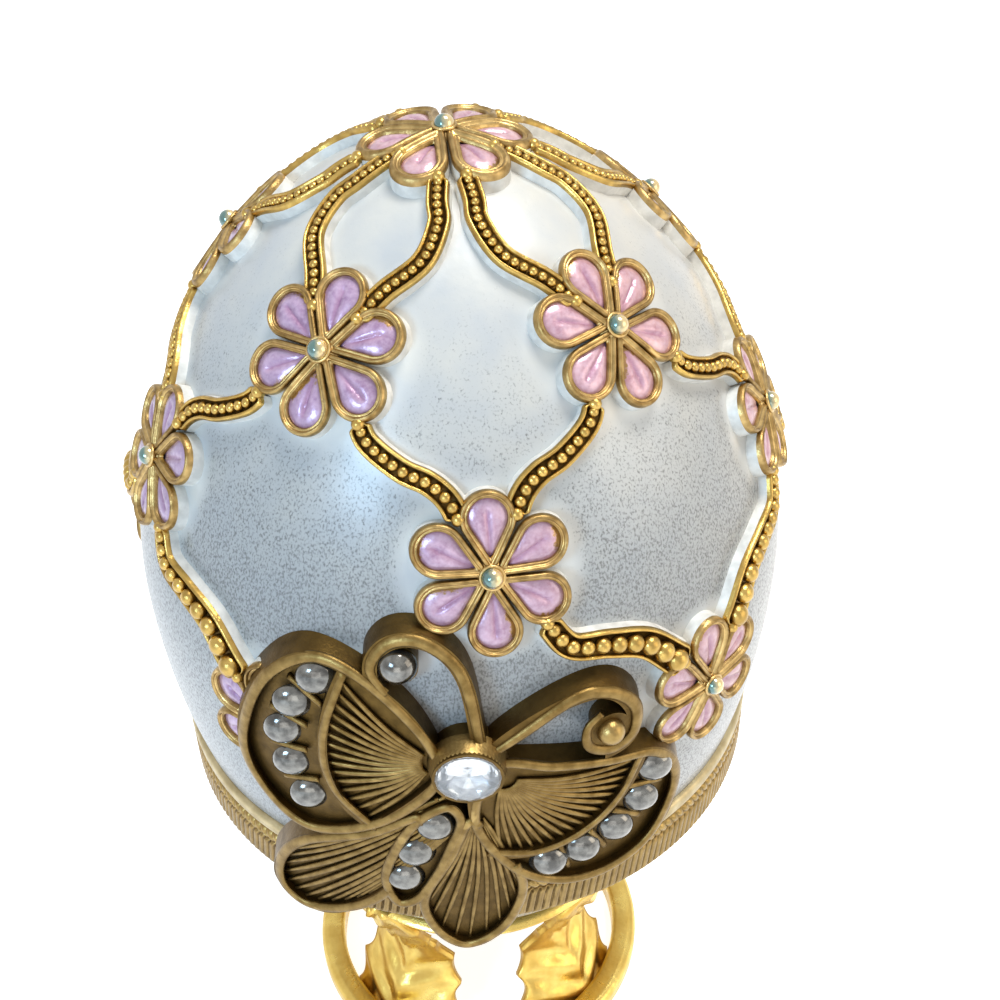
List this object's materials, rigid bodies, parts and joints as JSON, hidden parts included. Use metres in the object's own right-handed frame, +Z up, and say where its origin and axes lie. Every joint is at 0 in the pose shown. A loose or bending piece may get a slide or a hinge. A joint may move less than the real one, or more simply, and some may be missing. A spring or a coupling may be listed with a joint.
{
  "type": "decorative egg on stand",
  "caption": "White trinket egg with a hinged lid on a round gold stand, trimmed with enamelled flowers, gold trails and a butterfly.",
  "frame": {"origin": "centre of the underside of the foot", "axes": "+Z up the egg's axis, -Y towards the butterfly at the front"},
  "size_m": [0.0878, 0.0927, 0.1509],
  "materials": {
    "white_resin": "satin pearly white with grey specks",
    "antique_gold": "antique gold",
    "pale_gold": "pale satin gold",
    "bright_gold": "bright gold",
    "hinge_gold": "satin gold",
    "stand_gold": "polished gold",
    "pink_enamel": "pearly pink enamel",
    "bead_glass": "iridescent bead",
    "clear_stone": "faceted clear stone",
    "grey_pearl": "silver grey pearl"
  },
  "bodies": {
    "stand": {"foot_ring": "stand_gold", "stand_collar": "stand_gold", "stand_leg_1": "stand_gold", "stand_leg_2": "stand_gold", "stand_leg_3": "stand_gold", "stand_leg_4": "stand_gold"},
    "egg_base": {"base_shell": "white_resin", "rope_rim": "antique_gold", "base_band": "antique_gold", "hinge_leaf_base": "hinge_gold", "hinge_pin": "hinge_gold"},
    "lid": {"lid_shell": "white_resin", "lid_lip": "pale_gold", "hinge_leaf_lid": "hinge_gold", "flower_apex": "bright_gold", "flower_row1_1": "bright_gold", "flower_row1_2": "bright_gold", "flower_row1_3": "bright_gold", "flower_row1_4": "bright_gold", "flower_row1_5": "bright_gold", "flower_row2_1": "bright_gold", "flower_row2_2": "bright_gold", "flower_row2_3": "bright_gold", "flower_row2_4": "bright_gold", "flower_row2_5": "bright_gold", "flower_row3_1": "bright_gold", "flower_row3_2": "bright_gold", "flower_row3_3": "bright_gold", "flower_row3_4": "bright_gold", "flower_row3_5": "bright_gold", "petals_apex": "pink_enamel", "petals_row1": "pink_enamel", "petals_row2": "pink_enamel", "petals_row3": "pink_enamel", "bead_apex": "bead_glass", "beads_row1": "bead_glass", "beads_row2": "bead_glass", "beads_row3": "bead_glass", "trails_upper": "bright_gold", "trails_middle": "bright_gold", "trails_lower": "bright_gold", "butterfly_casting": "antique_gold", "centre_stone": "clear_stone", "wing_pearls": "grey_pearl", "antenna_pearl": "grey_pearl"}
  },
  "joints": [
    {"name": "egg_lift", "type": "slide", "parent": "stand", "child": "egg_base", "axis": [0, 0, 1], "range_m": [0, 0.06]},
    {"name": "lid_hinge", "type": "hinge", "parent": "egg_base", "child": "lid", "pos_m": [0, 0.0422, 0.066], "axis": [-1, 0, 0], "range_deg": [0, 95]}
  ]
}
